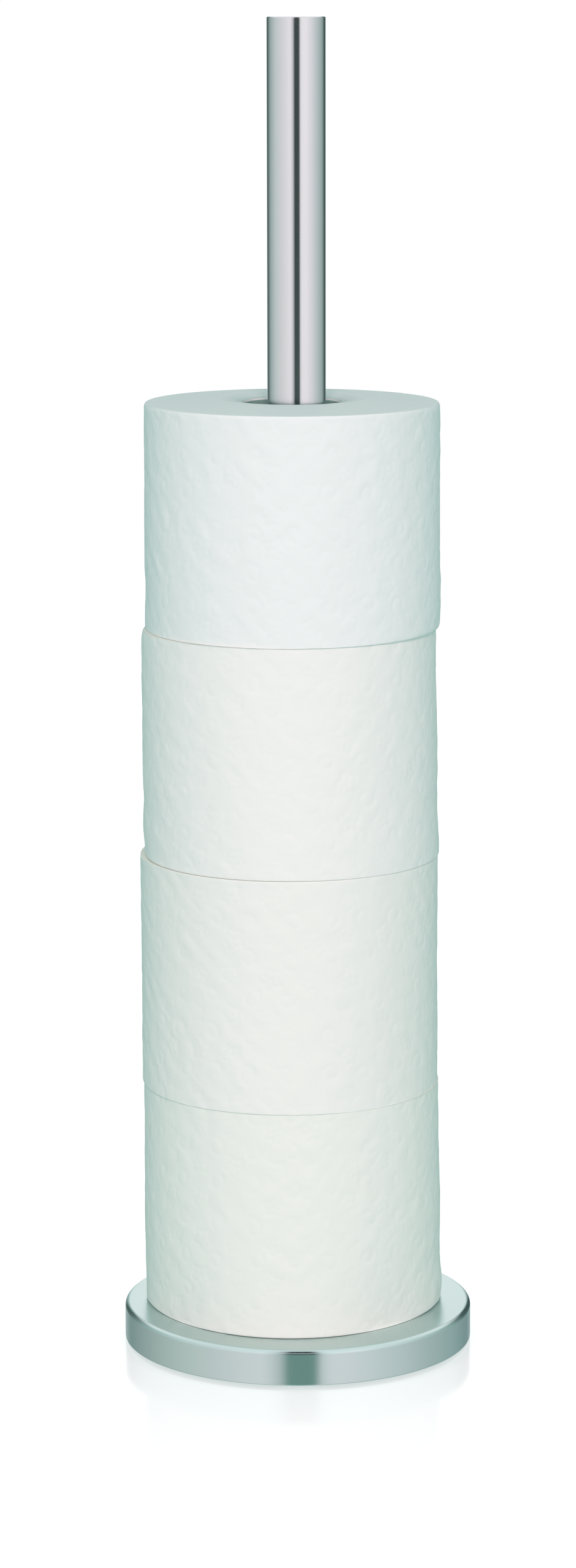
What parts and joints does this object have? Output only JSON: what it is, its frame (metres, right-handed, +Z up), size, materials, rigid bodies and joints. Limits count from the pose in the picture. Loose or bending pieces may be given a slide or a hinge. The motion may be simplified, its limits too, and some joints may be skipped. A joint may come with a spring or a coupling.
{
  "type": "spare toilet roll holder",
  "caption": "Free-standing spare toilet roll holder: a brushed steel post on a weighted round base, carrying a stack of tissue rolls that lift off and turn.",
  "frame": {"origin": "bottom centre of the base, on the floor and on the post's axis", "axes": "+Z up along the post; -Y is the side the stand is usually seen from, +X to its right"},
  "size_m": [0.153, 0.153, 0.577],
  "materials": {
    "post_steel": "satin stainless, ground around the tube",
    "cover_steel": "satin stainless, ground around the disc",
    "weight_iron": "black enamelled casting",
    "plated_steel": "bright zinc plating",
    "pad_rubber": "matte foamed rubber",
    "core_board": "matte spiral-wound grey-green board",
    "tissue": "soft matte embossed tissue paper, wound"
  },
  "bodies": {
    "stand": {"anti_slip_pad": "pad_rubber", "base_cover": "cover_steel", "base_weight": "weight_iron", "clamp_screw": "plated_steel", "flat_washer": "plated_steel", "spring_washer": "plated_steel", "post_tube": "post_steel", "post_foot_plug": "plated_steel", "post_top_cap": "post_steel"},
    "roll_1_core": {"roll_core_1": "core_board"},
    "roll_1_tissue": {"tissue_roll_1": "tissue"},
    "roll_2_core": {"roll_core_2": "core_board"},
    "roll_2_tissue": {"tissue_roll_2": "tissue"},
    "roll_3_core": {"roll_core_3": "core_board"},
    "roll_3_tissue": {"tissue_roll_3": "tissue"},
    "roll_4_core": {"roll_core_4": "core_board"},
    "roll_4_tissue": {"tissue_roll_4": "tissue"}
  },
  "joints": [
    {"name": "roll_1_lift", "type": "slide", "parent": "stand", "child": "roll_1_core", "axis": [0, 0, 1], "range_m": [0, 0.564]},
    {"name": "roll_1_turn", "type": "hinge", "parent": "roll_1_core", "child": "roll_1_tissue", "pos_m": [-0.0024, 0.0028, 0.06695], "axis": [0, 0, 1], "continuous": true},
    {"name": "roll_2_lift", "type": "slide", "parent": "roll_1_core", "child": "roll_2_core", "axis": [0, 0, 1], "range_m": [0, 0.464]},
    {"name": "roll_2_turn", "type": "hinge", "parent": "roll_2_core", "child": "roll_2_tissue", "pos_m": [-0.0033, 0.0005, 0.1677], "axis": [0, 0, 1], "continuous": true},
    {"name": "roll_3_lift", "type": "slide", "parent": "roll_2_core", "child": "roll_3_core", "axis": [0, 0, 1], "range_m": [0, 0.363]},
    {"name": "roll_3_turn", "type": "hinge", "parent": "roll_3_core", "child": "roll_3_tissue", "pos_m": [-0.0031, 0, 0.26785], "axis": [0, 0, 1], "continuous": true},
    {"name": "roll_4_lift", "type": "slide", "parent": "roll_3_core", "child": "roll_4_core", "axis": [0, 0, 1], "range_m": [0, 0.264]},
    {"name": "roll_4_turn", "type": "hinge", "parent": "roll_4_core", "child": "roll_4_tissue", "pos_m": [-0.0019, 0, 0.36595], "axis": [0, 0, 1], "continuous": true}
  ]
}
